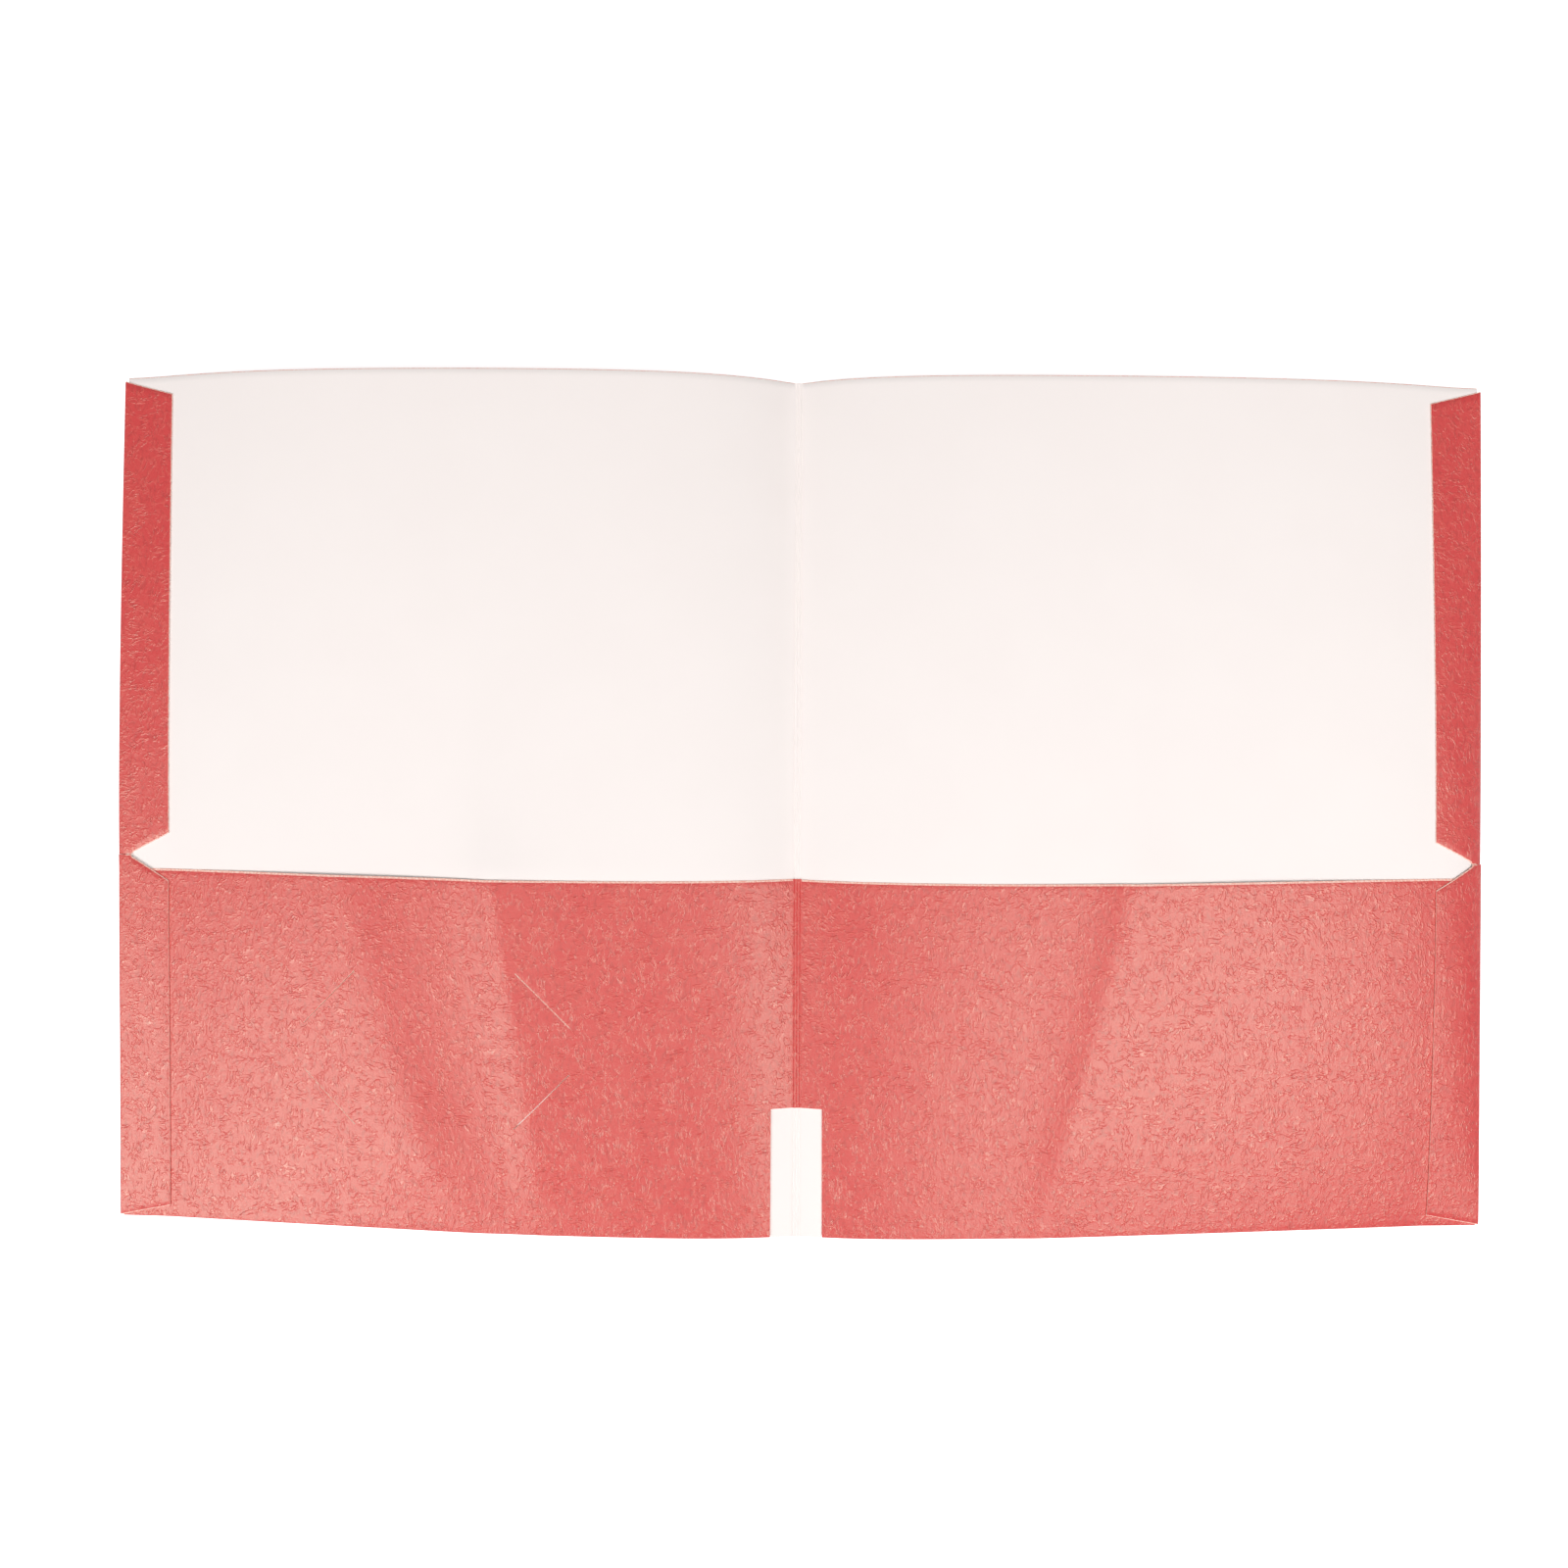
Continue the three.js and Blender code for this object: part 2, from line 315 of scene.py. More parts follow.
def gape_height(half, s, y):
    """How far a pocket's panel stands off the cover: nothing at its three closed sides."""
    inner = half.reach - half.flap
    out = np.clip((s - SPINE_STRIP) / (inner - SPINE_STRIP), 0, 1)
    up = np.clip((y - FOOT) / (MOUTH - FOOT), 0, 1)
    bulge = np.sin(math.pi * out ** (math.log(0.5) / math.log(GAPE_PEAK))) ** 2
    return half.gape * bulge * np.sin(math.pi / 2 * up)


def folded(t, h, stack):
    """Where a sheet that closes round a stack of layers comes to lie: (distance in from the fold, height).

    t is 0 where the round fold ends and the panel begins, and h is the height within the sheet.
    """
    radius = stack / 2
    ring = radius - CARD + h
    angle = np.clip(math.pi / 2 + t / radius, -math.pi / 2, math.pi / 2)
    inset = radius - ring * np.cos(angle)
    height = radius + ring * np.sin(angle)
    under = -math.pi * radius
    inset = np.where(t > 0, radius + t, inset)
    inset = np.where(t < under, radius + under - t, inset)
    return inset, height


# Flat sheets

def stations(first, last, step):
    """Evenly spaced values from first to last, about a step apart."""
    count = max(1, round(abs(last - first) / step))
    return list(np.linspace(first, last, count + 1))


def fold_stations(stack):
    """Stations of the leg under a fold and of its round."""
    under = -math.pi * stack / 2
    leg = under - (FOLD_LEG - stack / 2)
    return [leg, *np.linspace(under, 0, BEND_STEPS + 1)]


def with_lip(values):
    """The same stations with one more just before the last, for the lip of a cut edge."""
    return [*values[:-1], values[-1] - LIP, values[-1]]


def with_lips(values):
    """The same with a lip at both ends."""
    return [values[0], values[0] + LIP, *values[1:-1], values[-1] - LIP, values[-1]]


# Which of a sheet's three materials a face takes
OUTER_FACE = 0
INNER_FACE = 1
CUT_FACE = 2


class FlatSheet:
    """A closed sheet drawn flat: columns x rows of (a, b), between an inner face at floor and an outer one.

    cut names the rows that are cut edges: their corner is broken, and shows the card's pale core.
    """

    def __init__(self, a, b, cut=(), thickness=CARD, floor=0.0):
        columns, rows = a.shape
        self.columns, self.rows = columns, rows
        outer = np.full((columns, rows), floor + thickness)
        inner = np.full((columns, rows), floor)
        places = {"first_row": 0, "last_row": -1}
        for row in cut:
            outer[:, places[row]] = floor + BROKEN_SHARE * thickness
        self.points = np.concatenate(
            [np.stack([a, b, outer], -1).reshape(-1, 3), np.stack([a, b, inner], -1).reshape(-1, 3)]
        )
        self.faces, self.kinds = [], []
        self._grid(cut)
        self._rim()

    def _at(self, i, j, inner=False):
        return (self.columns * self.rows if inner else 0) + i * self.rows + j

    def _grid(self, cut):
        last = self.rows - 2
        for i in range(self.columns - 1):
            for j in range(self.rows - 1):
                corners = ((i, j), (i + 1, j), (i + 1, j + 1), (i, j + 1))
                edge = (j == 0 and "first_row" in cut) or (j == last and "last_row" in cut)
                self.faces.append([self._at(*c) for c in corners])
                self.kinds.append(CUT_FACE if edge else OUTER_FACE)
                self.faces.append([self._at(*c, inner=True) for c in reversed(corners)])
                self.kinds.append(INNER_FACE)

    def _rim(self):
        bottom = [(i, 0) for i in range(self.columns)]
        right = [(self.columns - 1, j) for j in range(1, self.rows)]
        top = [(i, self.rows - 1) for i in range(self.columns - 2, -1, -1)]
        left = [(0, j) for j in range(self.rows - 2, 0, -1)]
        loop = bottom + right + top + left
        for here, there in zip(loop, loop[1:] + loop[:1]):
            self.faces.append(
                [self._at(*here, inner=True), self._at(*there, inner=True), self._at(*there), self._at(*here)]
            )
            self.kinds.append(CUT_FACE)


def make_mesh(name, points, faces, kinds, materials):
    """A mesh object of these points, in whatever unit they are in."""
    mesh = bpy.data.meshes.new(name)
    mesh.from_pydata([tuple(p) for p in points], [], faces)
    mesh.update()
    for material in materials:
        mesh.materials.append(material)
    mesh.polygons.foreach_set("material_index", kinds)
    piece = bpy.data.objects.new(name, mesh)
    bpy.context.scene.collection.objects.link(piece)
    return piece


def mesh_points(piece):
    """The points of a piece's mesh as an array."""
    flat = np.zeros(3 * len(piece.data.vertices))
    piece.data.vertices.foreach_get("co", flat)
    return flat.reshape(-1, 3)


def settle(piece, direction, pattern, placed):
    """Moves a flat piece's points to their places, in millimetres, and keeps its pattern for the grain."""
    mesh = piece.data
    mesh.vertices.foreach_set("co", (placed * MM).astype(np.float32).ravel())
    flat = mesh.attributes.new("sheet", "FLOAT_VECTOR", "POINT")
    flat.data.foreach_set("vector", (pattern * MM).astype(np.float32).ravel())
    if direction < 0:
        mesh.flip_normals()
    mesh.shade_smooth()
    mesh.set_sharp_from_angle(angle=math.radians(SHARP_DEG))
    mesh.update()
    return piece


# The materials

RED = (0.695, 0.034, 0.043, 1)
# Darker red of the grain's hollows: painted shade
RED_SHADED = (0.485, 0.020, 0.028, 1)
# Pale red: a painted highlight on the grain's ridges, and also a paler random mottle
RED_MOTTLE_AND_HIGHLIGHT = (0.88, 0.24, 0.17, 1)
SHEEN_TINT = (0.66, 1.0, 0.82, 1)
WARM_WHITE = (0.95, 0.878, 0.85, 1)
CLOUDED_WHITE = (0.935, 0.86, 0.832, 1)
CORE = (0.90, 0.42, 0.34, 1)
CORE_PALE = (0.95, 0.66, 0.56, 1)
GLUE_CREAM = (0.86, 0.80, 0.64, 1)
GLUE_AMBER = (0.80, 0.73, 0.55, 1)

# The red card's grain: shares of its bump and of its colour, where the colour paints a highlight on the
# ridges and shade in the hollows, and mottles it at random
MIDDLE = 0.5
CRINKLE_DEPTH = 0.6
PILLOW_DEPTH = 0.7
GRIT_DEPTH = 0.4
RIDGE_HIGHLIGHT_SHARE = 0.2
HOLLOW_SHADE_SHARE = 0.45
PALE_MOTTLE = 0.06
CLOUD_SHARE = 0.5


class Nodes:
    """A material's node tree, with short calls for the nodes used here."""

    def __init__(self, name):
        self.material = bpy.data.materials.new(name)
        self.material.use_nodes = True
        self.tree = self.material.node_tree
        self.shader = self.tree.nodes["Principled BSDF"]

    def link(self, value, socket):
        """Links another node's output to a socket, or sets the socket to a plain value."""
        if isinstance(value, bpy.types.NodeSocket):
            self.tree.links.new(value, socket)
        else:
            socket.default_value = value

    def node(self, kind, output=0, inputs=None, **settings):
        """Adds a node and gives back one of its outputs."""
        made = self.tree.nodes.new(kind)
        for key, value in settings.items():
            setattr(made, key, value)
        for key, value in (inputs or {}).items():
            self.link(value, made.inputs[key])
        return made.outputs[output]

    def sheet(self, stretch=(1, 1, 1)):
        """Flat coordinates of the sheet in millimetres, stretched."""
        flat = self.node("ShaderNodeAttribute", output="Vector", attribute_name="sheet")
        scale = tuple(1 / (MM * k) for k in stretch)
        return self.node("ShaderNodeVectorMath", inputs={0: flat, 1: scale}, operation="MULTIPLY")

    def math(self, operation, a, b=0.0):
        """One sum on one or two values."""
        return self.node("ShaderNodeMath", inputs={0: a, 1: b}, operation=operation)

    def share(self, value, part):
        """A part of a value, as a share of 1."""
        return self.math("MULTIPLY", value, part)

    def noise(self, vector, size, detail):
        """Noise whose features are about size millimetres."""
        inputs = {"Vector": vector, "Scale": 1 / size, "Detail": detail}
        return self.node("ShaderNodeTexNoise", inputs=inputs, noise_type="FBM", normalize=True)

    def remap(self, value, low, high, to_low=0.0, to_high=1.0):
        """A value that goes smoothly from one limit to another while its source goes from low to high."""
        inputs = {"Value": value, "From Min": low, "From Max": high, "To Min": to_low, "To Max": to_high}
        return self.node("ShaderNodeMapRange", inputs=inputs, interpolation_type="SMOOTHSTEP")

    def mix(self, share, a, b):
        """A colour between a and b."""
        made = self.tree.nodes.new("ShaderNodeMix")
        made.data_type = "RGBA"
        self.link(share, made.inputs["Factor"])
        self.link(a, made.inputs["A"])
        self.link(b, made.inputs["B"])
        return made.outputs["Result"]

    def bump(self, height, depth):
        """Bump whose height runs over depth millimetres."""
        inputs = {"Height": height, "Distance": depth * MM, "Strength": 1.0}
        self.link(self.node("ShaderNodeBump", inputs=inputs), self.shader.inputs["Normal"])

    def set(self, **values):
        """Sets or links the shader's inputs by name."""
        for key, value in values.items():
            self.link(value, self.shader.inputs[key.replace("_", " ")])


def warped(nodes, vector, size, shift):
    """Coordinates shifted about by noise, so that lines drawn in them wander."""
    inputs = {"Vector": vector, "Scale": 1 / size, "Detail": 1.0}
    noise = nodes.node("ShaderNodeTexNoise", output="Color", inputs=inputs)
    centred = nodes.node("ShaderNodeVectorMath", inputs={0: noise, 1: (MIDDLE,) * 3}, operation="SUBTRACT")
    scaled = nodes.node("ShaderNodeVectorMath", inputs={0: centred, "Scale": shift}, operation="SCALE")
    return nodes.node("ShaderNodeVectorMath", inputs={0: vector, 1: scaled}, operation="ADD")


def embossed_red():
    """Coated card with a crinkled leather grain and a warm satin sheen: its colour carries a painted
    highlight on the ridges and painted shade in the hollows.
    """
    nodes = Nodes("red_embossed_card")
    upright = warped(nodes, nodes.sheet(stretch=(0.75, 1.35, 1)), size=6.0, shift=4.0)
    level = warped(nodes, nodes.sheet(stretch=(1.35, 0.8, 1)), size=6.0, shift=4.0)
    patches = nodes.remap(nodes.noise(nodes.sheet(), size=12.0, detail=1.0), low=0.45, high=0.6)
    broken = nodes.noise(nodes.sheet(), size=4.0, detail=1.0)
    strength = nodes.remap(broken, low=0.36, high=0.56, to_low=0.15, to_high=1.0)
    ridges = []
    for vector in (upright, level):
        line = nodes.math("SUBTRACT", nodes.noise(vector, size=2.5, detail=2.0), MIDDLE)
        off = nodes.math("ABSOLUTE", line)
        ridges.append(nodes.remap(off, low=0.0, high=0.08, to_low=1.0, to_high=0.0))
    crinkle = nodes.node(
        "ShaderNodeMix", inputs={"Factor": patches, "A": ridges[0], "B": ridges[1]}, data_type="FLOAT"
    )
    crinkle = nodes.math("MULTIPLY", crinkle, strength)
    pillow = nodes.noise(upright, size=1.7, detail=2.0)
    grit = nodes.noise(nodes.sheet(), size=0.45, detail=2.0)
    height = nodes.math("ADD", nodes.share(crinkle, CRINKLE_DEPTH), nodes.share(pillow, PILLOW_DEPTH))
    height = nodes.math("ADD", height, nodes.share(grit, GRIT_DEPTH))
    nodes.bump(height, depth=0.17)
    # Painted highlight: the grain's ridges are coloured paler
    colour = nodes.mix(nodes.share(crinkle, RIDGE_HIGHLIGHT_SHARE), RED, RED_MOTTLE_AND_HIGHLIGHT)
    # Painted shade: the grain's hollows are coloured darker
    hollow_shade = nodes.remap(pillow, low=0.32, high=0.5, to_low=1.0, to_high=0.0)
    colour = nodes.mix(nodes.share(hollow_shade, HOLLOW_SHADE_SHARE), colour, RED_SHADED)
    mottle = nodes.remap(nodes.noise(nodes.sheet(), size=14.0, detail=3.0), low=0.3, high=0.7)
    colour = nodes.mix(nodes.share(mottle, PALE_MOTTLE), colour, RED_MOTTLE_AND_HIGHLIGHT)
    shine = nodes.remap(crinkle, low=0.0, high=1.0, to_low=0.44, to_high=0.36)
    nodes.set(Base_Color=colour, Roughness=shine)
    nodes.set(Specular_IOR_Level=0.9, Specular_Tint=SHEEN_TINT, IOR=1.62)
    return nodes.material


def smooth_white():
    """The uncoated inside of the card: warm white, with a faint fibre."""
    nodes = Nodes("white_card")
    pulp = warped(nodes, nodes.sheet(stretch=(2.5, 0.8, 1)), size=3.0, shift=1.5)
    fibre = nodes.noise(pulp, size=0.5, detail=3.0)
    cloud = nodes.noise(nodes.sheet(), size=30.0, detail=2.0)
    nodes.bump(fibre, depth=0.02)
    tone = nodes.share(nodes.remap(cloud, low=0.3, high=0.7), CLOUD_SHARE)
    nodes.set(Base_Color=nodes.mix(tone, WARM_WHITE, CLOUDED_WHITE))
    dull = nodes.remap(fibre, low=0.3, high=0.7, to_low=0.62, to_high=0.74)
    nodes.set(Roughness=dull, Specular_IOR_Level=0.3)
    return nodes.material


def cut_core():
    """The broken corner of a cut edge, where the coating ends and the card's core shows."""
    nodes = Nodes("cut_edge")
    flecks = nodes.remap(nodes.noise(nodes.sheet(), size=0.8, detail=2.0), low=0.35, high=0.65)
    nodes.bump(flecks, depth=0.03)
    nodes.set(Base_Color=nodes.mix(flecks, CORE, CORE_PALE), Roughness=0.7)
    return nodes.material


def glue_film():
    """Dried glue under the side flaps."""
    nodes = Nodes("dried_glue")
    streaks = nodes.noise(nodes.sheet(stretch=(3, 0.6, 1)), size=1.5, detail=2.0)
    nodes.bump(streaks, depth=0.03)
    nodes.set(Base_Color=nodes.mix(streaks, GLUE_CREAM, GLUE_AMBER))
    nodes.set(Roughness=nodes.remap(streaks, low=0.3, high=0.7, to_low=0.35, to_high=0.55))
    return nodes.material


red_card = embossed_red()
white_card = smooth_white()
cut_card = cut_core()
dried_glue = glue_film()

# Outer face, inner face and cut edge of a panel whose outer face is the red one, and of one whose is not
RED_OUT = (red_card, white_card, cut_card)
WHITE_OUT = (white_card, red_card, cut_card)
GLUE_ALL = (dried_glue, dried_glue, dried_glue)


# The panels

def across_stations(half):
    """Where the columns of a cover and of its pocket lie, from the spine's strip to the outer fold."""
    return [*stations(SPINE_STRIP, SPINE_CUT - LIP, STEP), *stations(SPINE_CUT, half.reach - FOLD_LEG, STEP)]


def cover(half):
    """A cover, white above, red below. It ends at its folds, or at the foot within the spine's cut-out."""
    second_row = FOOT + 1.5 * FOLD_LEG
    across = across_stations(half)
    shares = [0, *np.linspace(FOLD_LEG / (TOP - FOOT), 1, round((TOP - FOOT) / STEP))]
    rows = with_lip([FOOT + share * (TOP - FOOT) for share in shares])
    s, y = np.meshgrid(across, rows, indexing="ij")
    outside = s >= SPINE_CUT
    y = np.where(outside & (y < FOOT + FOLD_LEG), FOOT + FOLD_LEG, y)
    y[:, 1] = np.where(outside[:, 1], second_row, y[:, 1])
    sheet = FlatSheet(s, y, cut=("last_row",))
    piece = make_mesh(f"cover_panel_{half.side}", sheet.points, sheet.faces, sheet.kinds, WHITE_OUT)
    s, y, h = sheet.points.T
    placed = laid(half, s, y, h)
    pattern = np.stack([half.direction * s, y, 0 * s], -1)
    return settle(piece, half.direction, pattern, placed)


def mouth_line(half, s):
    """The y of a pocket's mouth: its edge sags a little between the flap and the spine."""
    out = np.clip(s / (half.reach - half.flap), 0, 1)
    sag = SAG_AT_SPINE + SAG_BETWEEN * np.sin(math.pi * out)
    return MOUTH - half.mouth_dip * (1 - out**SAG_POWER) * sag


def pocket(half, cutters=()):
    """A pocket: the round bottom fold and the panel that it lays over the cover."""
    across = across_stations(half)
    fold = fold_stations(POCKET_STACK)
    shares = with_share_lip(stations(0, 1, STEP / (MOUTH - FOOT))[1:])
    rows = len(fold) + len(shares)
    s = np.tile(np.array(across)[:, None], (1, rows))
    length = mouth_line(half, s[:, 0]) - FOOT - POCKET_STACK / 2
    panel = length[:, None] * np.array(shares)[None, :]
    t = np.concatenate([np.tile(np.array(fold), (len(across), 1)), panel], axis=1)
    sheet = FlatSheet(s, t, cut=("last_row",))
    piece = make_mesh(f"pocket_panel_{half.side}", sheet.points, sheet.faces, sheet.kinds, RED_OUT)
    for cutter in (spine_cutter(), *cutters):
        cut_with(piece, cutter)
    s, t, h = mesh_points(piece).T
    inset, height = folded(t, h, POCKET_STACK)
    y = FOOT + inset
    lift = np.where(t > 0, gape_height(half, s, y), 0)
    placed = laid(half, s, y, height + lift)
    pattern = np.stack([half.direction * s, t, 0 * s], -1)
    return settle(piece, half.direction, pattern, placed)


def with_share_lip(shares):
    """Shares of a pocket's depth with one more just below the mouth."""
    return [*shares[:-1], 1 - MOUTH_LIP / (MOUTH - FOOT), 1]


def prism(outline, low, high):
    """A closed cutter. Each corner of its outline is (a, b) at the top and (a, b) at the foot."""
    top = [(a, b, high) for a, b, _, _ in outline]
    foot = [(a, b, low) for _, _, a, b in outline]
    count = len(outline)
    faces = [list(range(count)), list(range(2 * count - 1, count - 1, -1))]
    for k in range(count):
        after = (k + 1) % count
        faces.append([k, k + count, after + count, after])
    return make_mesh("cutter", top + foot, faces, [0] * len(faces), [cut_card])


def spine_cutter():
    """Cuts the foot of the pockets away round the spine."""
    top = SPINE_CUT_TOP - FOOT - POCKET_STACK / 2
    past_fold = -3 * POCKET_STACK
    corners = [
        (-CUTTER_CLEAR, past_fold),
        (SPINE_CUT, past_fold),
        (SPINE_CUT, top - SPINE_CUT_ARCH),
        (-CUTTER_CLEAR, top),
    ]
    return prism([(a, b, a, b) for a, b in corners], -CUTTER_CLEAR, CUTTER_CLEAR)


def slit_cutters():
    """The four slits, each across its corner of the business card at 45 degrees, wider above than below."""
    across, up_page = SLIT_FROM_CARD_MIDDLE
    cutters = []
    for right, up in ((1, 1), (-1, 1), (-1, -1), (1, -1)):
        from_fold = CARD_FROM_FOOT + up * up_page - POCKET_STACK / 2
        middle = np.array([CARD_FROM_SPINE + right * across, from_fold])
        along = np.array([1.0, -right * up]) * math.sqrt(0.5)
        square = np.array([-along[1], along[0]])
        for width, floor in ((SLIT_BEVEL, BEVEL_FLOOR), (SLIT_WIDTH, SLIT_FLOOR)):
            outline = []
            for end, side in ((-1, -1), (1, -1), (1, 1), (-1, 1)):
                line = middle + end * along * SLIT_LENGTH / 2
                at_top = line + side * square * width / 2
                at_foot = line + side * square * SLIT_WIDTH / 2
                outline.append((*at_top, *at_foot))
            cutters.append(prism(outline, floor, SLIT_CEILING))
    return cutters


def cut_with(piece, cutter):
    """Takes the cutter out of the piece and deletes it."""
    fix_normals(cutter)
    modifier = piece.modifiers.new("cut", "BOOLEAN")
    modifier.operation = "DIFFERENCE"
    modifier.solver = "EXACT"
    modifier.object = cutter
    modifier.material_mode = "TRANSFER"
    graph = bpy.context.evaluated_depsgraph_get()
    cut = bpy.data.meshes.new_from_object(piece.evaluated_get(graph))
    piece.modifiers.clear()
    piece.data = cut
    bpy.data.objects.remove(cutter)


def fix_normals(piece):
    """Turns a closed piece's faces outwards."""
    work = bmesh.new()
    work.from_mesh(piece.data)
    bmesh.ops.recalc_face_normals(work, faces=work.faces)
    work.to_mesh(piece.data)
    work.free()


def notch_side(rise, flap):
    """One side of the V cut, from the fold inwards, as distances from the fold and from the tip's line."""
    centre = NOTCH_TIP + NOTCH_RADIUS
    run = flap - centre
    slope = math.atan2(rise, run) - math.asin(NOTCH_RADIUS / math.hypot(rise, run))
    tip = [
        (centre + NOTCH_RADIUS * math.cos(a), max(KNIFE_CUT, NOTCH_RADIUS * math.sin(a)))
        for a in np.linspace(math.pi, math.pi / 2 + slope, NOTCH_POINTS)
    ]
    return [(0, KNIFE_CUT), *tip, (flap, rise)]


def side_flap(half, level, stack, top_end, foot_end):
    """A side flap: the round fold of the outer edge and the strip that it lays on the sheet."""
    usual_rise = 10
    past_tip = 1
    tip = [x - stack / 2 for x, _ in notch_side(usual_rise, half.flap)][1:-1]
    strip = [*tip, *stations(tip[-1] + past_tip, half.flap - stack / 2, STEP)]
    t = [*fold_stations(stack), *stations(0, tip[0], STEP)[1:-1], *with_lip(strip)]
    inset, _ = folded(np.array(t), CARD, stack)
    low = np.interp(inset, *zip(*foot_end))
    high = np.interp(inset, *zip(*top_end))
    shares = with_lips(stations(0, 1, STEP / (high[-1] - low[-1])))
    shares[1] = LIP / (high[-1] - low[-1])
    shares[-2] = 1 - shares[1]
    y = low[:, None] + (high - low)[:, None] * np.array(shares)[None, :]
    a = np.tile(np.array(t)[:, None], (1, len(shares)))
    sheet = FlatSheet(a, y, cut=("first_row", "last_row"))
    close_knife_cut(sheet, np.sum(inset < NOTCH_TIP), 0 if level == "upper" else -1)
    name = f"side_flap_{level}_{half.side}_strip"
    piece = make_mesh(name, sheet.points, sheet.faces, sheet.kinds, RED_OUT)
    t, y, h = sheet.points.T
    inset, height = folded(t, h, stack)
    s = half.reach - inset
    placed = laid(half, s, y, height)
    pattern = np.stack([half.direction * (half.reach + t), y, 0 * t], -1)
    return settle(piece, -half.direction, pattern, placed)


def close_knife_cut(sheet, columns, row):
    """Keeps the corner whole at one end of a flap's first columns, where a mere knife cut parts the flaps."""
    point_row = row % sheet.rows
    face_row = row % (sheet.rows - 1)
    for i in range(columns):
        sheet.points[i * sheet.rows + point_row, 2] = CARD
        if i < columns - 1:
            sheet.kinds[2 * (i * (sheet.rows - 1) + face_row)] = OUTER_FACE


def upper_flap(half):
    """The flap that closes over the cover: slanted at the top, and one side of the V cut at its foot."""
    tip_line = MOUTH + NOTCH_TIP_RISE
    top_end = [(0, TOP - FLAP_TOP_INSET), (half.flap, TOP - FLAP_TOP_DROP)]
    side = notch_side(NOTCH_UPPER_RISE - NOTCH_TIP_RISE, half.flap)
    return side_flap(half, "upper", UPPER_STACK, top_end, [(x, tip_line + off) for x, off in side])


def lower_flap(half):
    """The flap that closes over the pocket: the V cut's other side at its top, and slanted at the foot."""
    tip_line = MOUTH + NOTCH_TIP_RISE
    side = notch_side(NOTCH_LOWER_DROP + NOTCH_TIP_RISE, half.flap)
    foot_end = [(0, FOOT + FLAP_FOOT_INSET), (half.flap, FOOT + FLAP_FOOT_DROP)]
    return side_flap(half, "lower", LOWER_STACK, [(x, tip_line - off) for x, off in side], foot_end)


def glue(half, level, floor, low, high):
    """A film of dried glue under a side flap."""
    across = stations(half.reach - half.flap + GLUE_MARGIN, half.reach - FOLD_LEG - GLUE_MARGIN, STEP)
    s, y = np.meshgrid(across, stations(low + GLUE_MARGIN, high - GLUE_MARGIN, STEP), indexing="ij")
    sheet = FlatSheet(s, y, thickness=GLUE, floor=floor)
    piece = make_mesh(f"glue_film_{level}_{half.side}", sheet.points, sheet.faces, sheet.kinds, GLUE_ALL)
    s, y, h = sheet.points.T
    pattern = np.stack([half.direction * s, y, 0 * s], -1)
    return settle(piece, half.direction, pattern, laid(half, s, y, h))


def spine_strip(name, floor, low, high, materials):
    """The scored strip between the two halves: it stands up in two beads on the inside."""
    across = np.linspace(-SPINE_STRIP, SPINE_STRIP, STRIP_POINTS)
    s, y = np.meshgrid(across, with_lips(stations(low, high, STEP)), indexing="ij")
    sheet = FlatSheet(s, y)
    piece = make_mesh(name, sheet.points, sheet.faces, sheet.kinds, materials)
    s, y, h = sheet.points.T
    wave = np.cos(math.pi * s / SPINE_STRIP * GROOVE_WAVES)
    grooves = -GROOVE_DEPTH * wave**GROOVE_POWER * np.clip((SPINE_STRIP - abs(s)) / GROOVE_FADE, 0, 1)
    z = SPINE_RISE * (1 - rise_up(y)) + floor + h + grooves
    pattern = np.stack([s, y, 0 * s], -1)
    return settle(piece, 1, pattern, np.stack([s, y, z], -1))


def dress_half(half):
    """All the sheets of one half, riding on its body."""
    slits = slit_cutters() if half.side == "left" else ()
    pieces = {
        f"cover_{half.side}": (cover(half), "white_card"),
        f"pocket_{half.side}": (pocket(half, slits), "red_embossed_card"),
        f"side_flap_upper_{half.side}": (upper_flap(half), "red_embossed_card"),
        f"side_flap_lower_{half.side}": (lower_flap(half), "red_embossed_card"),
        f"glue_upper_{half.side}": (
            glue(half, "upper", CARD + LAYER_AIR, MOUTH + NOTCH_UPPER_RISE, TOP - FLAP_TOP_DROP),
            "dried_glue",
        ),
        f"glue_lower_{half.side}": (
            glue(half, "lower", POCKET_STACK + LAYER_AIR, FOOT + FLAP_FOOT_DROP, MOUTH - NOTCH_LOWER_DROP),
            "dried_glue",
        ),
    }
    for node, (piece, slot) in pieces.items():
        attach(piece, f"{half.side}_half")
        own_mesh(piece)
        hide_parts(node)


def dress_spine():
    """The two scored strips, which run across the spine from one half to the other."""
    mouth = mouth_line(LEFT, np.array([0.0]))[0]
    lift = CARD + LAYER_AIR
    strips = (
        ("spine_strip_cover", "spine_crease", "white_card", WHITE_OUT, 0.0, FOOT, TOP),
        ("spine_strip_pocket", "pocket_crease", "red_embossed_card", RED_OUT, lift, SPINE_CUT_TOP, mouth),
    )
    for name, node, slot, materials, floor, low, high in strips:
        piece = spine_strip(name, floor, low, high, materials)
        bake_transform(piece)
        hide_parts(node)


dress_half(LEFT)
dress_half(RIGHT)
dress_spine()


# Table, lights and camera

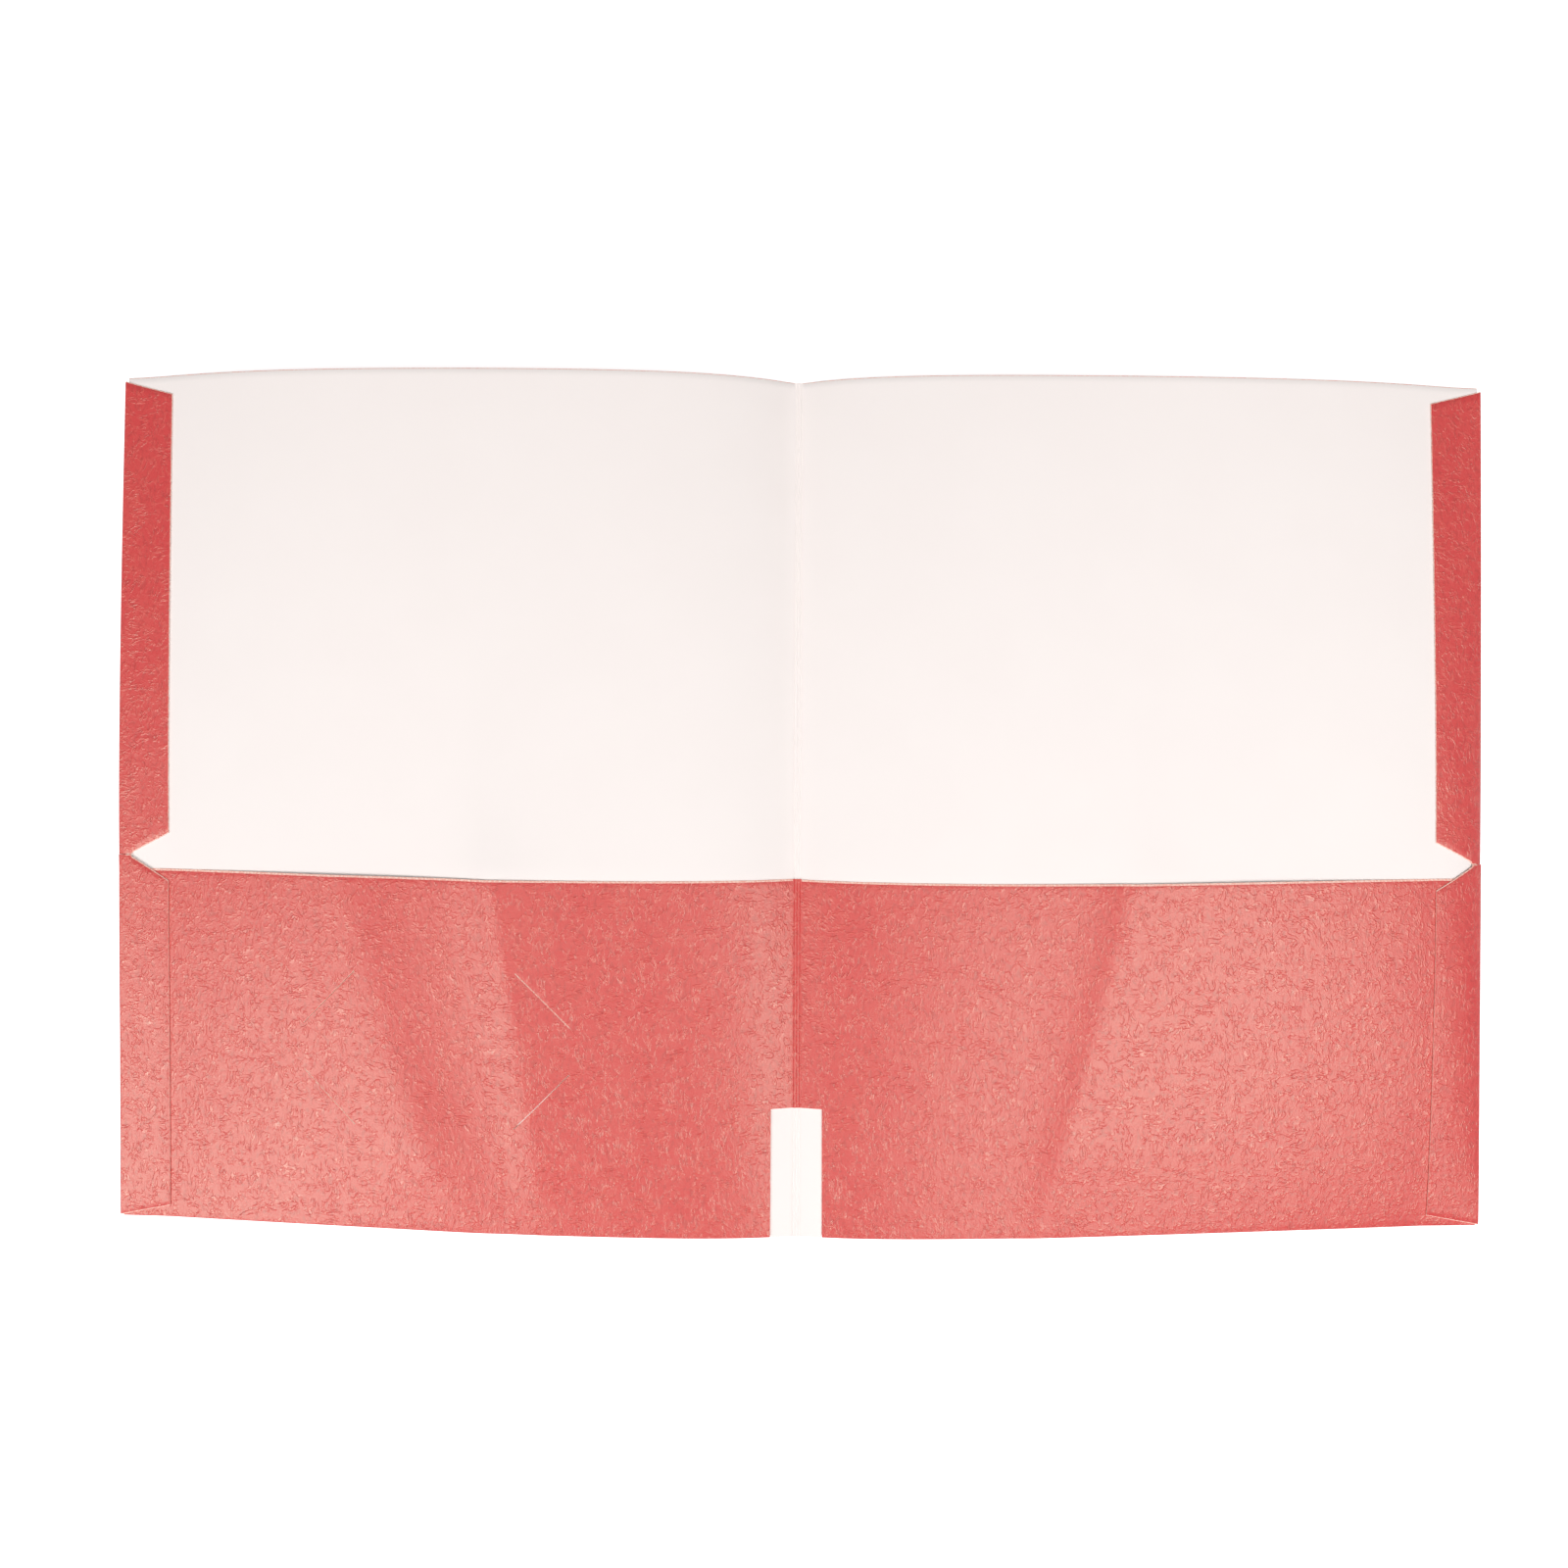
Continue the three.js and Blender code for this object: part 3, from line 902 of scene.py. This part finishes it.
def table():
    """A plain white table: it shows white to the camera and keeps the folder's soft shadow."""
    size = 6.0
    drop = 0.05
    glow = 0.62
    nodes = Nodes("table")
    light_path = nodes.node("ShaderNodeLightPath", output="Is Camera Ray")
    nodes.set(Base_Color=(0.92, 0.92, 0.92, 1), Roughness=0.9, Specular_IOR_Level=0.1)
    nodes.set(Emission_Color=(1, 1, 1, 1), Emission_Strength=nodes.share(light_path, glow))
    corners = [(-size, -size, 0), (size, -size, 0), (size, size, 0), (-size, size, 0)]
    piece = make_mesh("table", corners, [[0, 1, 2, 3]], [0], [nodes.material])
    piece.location.z = -drop * MM


def aim(thing, target):
    """Points a lamp at a place."""
    thing.rotation_euler = (thing.location - target).to_track_quat("Z", "Y").to_euler()


def soft_lamp(name, place, target, size, power):
    """A square studio softbox."""
    data = bpy.data.lights.new(name, "AREA")
    data.energy = power
    data.size = size
    lamp = bpy.data.objects.new(name, data)
    lamp.location = place
    bpy.context.scene.collection.objects.link(lamp)
    aim(lamp, Vector(target))


def studio():
    """Two softboxes beyond the folder's lower corners, a weak one above it, and an even pale surround."""
    surround_on_folder = 0.265
    surround_on_camera = 1.0
    soft_lamp("softbox_left", place=(-0.90, -0.57, 0.99), target=(-0.1, 0, 0), size=0.6, power=9.85)
    soft_lamp("softbox_right", place=(0.64, -0.35, 1.12), target=(0.1, 0, 0), size=0.6, power=9.4)
    soft_lamp("softbox_above", place=(0, 0.02, 1.25), target=(0, 0, 0), size=0.5, power=1.1)
    world = bpy.data.worlds.new("surround")
    world.use_nodes = True
    tree = world.node_tree
    background = tree.nodes["Background"]
    background.inputs["Color"].default_value = (1, 1, 1, 1)
    seen = tree.nodes.new("ShaderNodeLightPath").outputs["Is Camera Ray"]
    strength = tree.nodes.new("ShaderNodeMapRange")
    strength.inputs["To Min"].default_value = surround_on_folder
    strength.inputs["To Max"].default_value = surround_on_camera
    tree.links.new(seen, strength.inputs["Value"])
    tree.links.new(strength.outputs["Result"], background.inputs["Strength"])
    bpy.context.scene.world = world


def camera():
    """Straight above the table, at the height that the bowed edges of the covers tell."""
    height = 0.450
    scale_px_per_mm = 2.855
    image_px = 1600
    spine_px = 813.5
    centre_px = 817
    turn_deg = 0.25
    data = bpy.data.cameras.new("camera")
    data.sensor_width = 36.0
    data.lens = data.sensor_width * height / (image_px / scale_px_per_mm * MM)
    made = bpy.data.objects.new("camera", data)
    middle = image_px / 2
    made.location = (
        (middle - spine_px) / scale_px_per_mm * MM,
        (centre_px - middle) / scale_px_per_mm * MM,
        height,
    )
    made.rotation_euler = (0, 0, math.radians(turn_deg))
    bpy.context.scene.collection.objects.link(made)
    bpy.context.scene.camera = made


table()
studio()
camera()
bpy.context.scene.view_settings.view_transform = "Standard"
